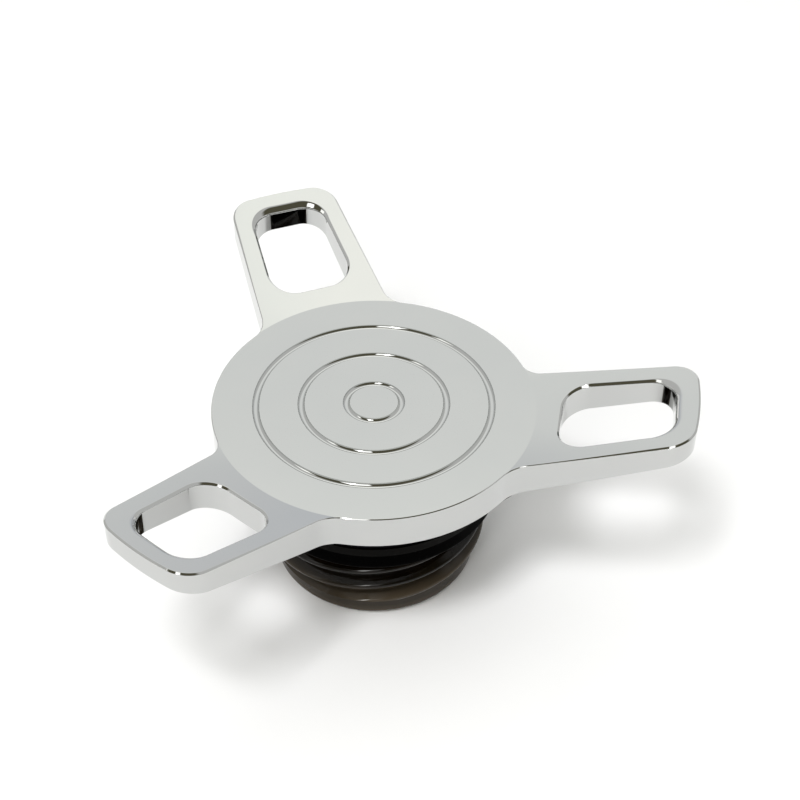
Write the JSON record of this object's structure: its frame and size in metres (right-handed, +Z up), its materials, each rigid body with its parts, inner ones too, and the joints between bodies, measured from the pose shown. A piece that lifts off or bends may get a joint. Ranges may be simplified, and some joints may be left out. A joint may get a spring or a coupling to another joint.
{
  "type": "fuel cap",
  "caption": "Screw-in fuel filler cap with a chromed three-armed spinner head, finger slots in the arms, a ratchet drive, a rubber gasket and a coarse threaded plastic plug.",
  "frame": {"origin": "on the cap's own axis, at the flat bottom rim of the threaded plug that the cap stands on", "axes": "+Z up along the cap's axis from the plug to the head; +X along the middle of one of the three arms"},
  "size_m": [0.1116, 0.1266, 0.0532],
  "materials": {
    "head_metal": "machined from one piece and polished, then bright chrome plate",
    "black_plastic": "moulded",
    "pawl_plastic": "moulded, unfilled",
    "smoky_plastic": "moulded, smoky and slightly translucent",
    "guard_plastic": "moulded",
    "gasket_rubber": "moulded, slightly glossy",
    "seal_rubber": "moulded",
    "valve_plastic": "moulded, unfilled",
    "valve_metal": "turned",
    "bearing_washer": "stamped and flat ground",
    "fastener_steel": "zinc plate",
    "spring_steel": "drawn wire and strip"
  },
  "bodies": {
    "plug": {"plug_body": "smoky_plastic", "main_gasket": "gasket_rubber", "seat_ring": "valve_plastic", "seat_o_ring": "seal_rubber", "end_cap": "guard_plastic", "pressure_spring": "spring_steel", "pivot_washer": "bearing_washer", "disc_spring": "spring_steel", "pivot_o_ring": "seal_rubber", "pawl_plate": "pawl_plastic"},
    "head": {"spinner_head": "head_metal", "drive_ring": "black_plastic", "drive_ring_screws": "fastener_steel", "pivot_screw": "fastener_steel"},
    "pressure_valve": {"pressure_disc": "valve_plastic", "pressure_seal": "seal_rubber", "vacuum_spring": "spring_steel"},
    "vacuum_valve": {"vacuum_poppet": "valve_metal", "vacuum_seal": "seal_rubber", "stem_clip": "spring_steel"}
  },
  "joints": [
    {"name": "head_turn", "type": "hinge", "parent": "plug", "child": "head", "pos_m": [0, 0, 0.0348], "axis": [0, 0, 1], "range_deg": [-360, 0], "deforming": ["pawl_plate"]},
    {"name": "pressure_lift", "type": "slide", "parent": "plug", "child": "pressure_valve", "axis": [0, 0, 1], "range_m": [0, 0.002], "stiffness_N_per_m": 400, "springref_m": -0.0035, "deforming": ["pressure_spring"]},
    {"name": "vacuum_drop", "type": "slide", "parent": "pressure_valve", "child": "vacuum_valve", "axis": [0, 0, -1], "range_m": [0, 0.001], "stiffness_N_per_m": 60, "springref_m": -0.003, "deforming": ["vacuum_spring"]}
  ]
}
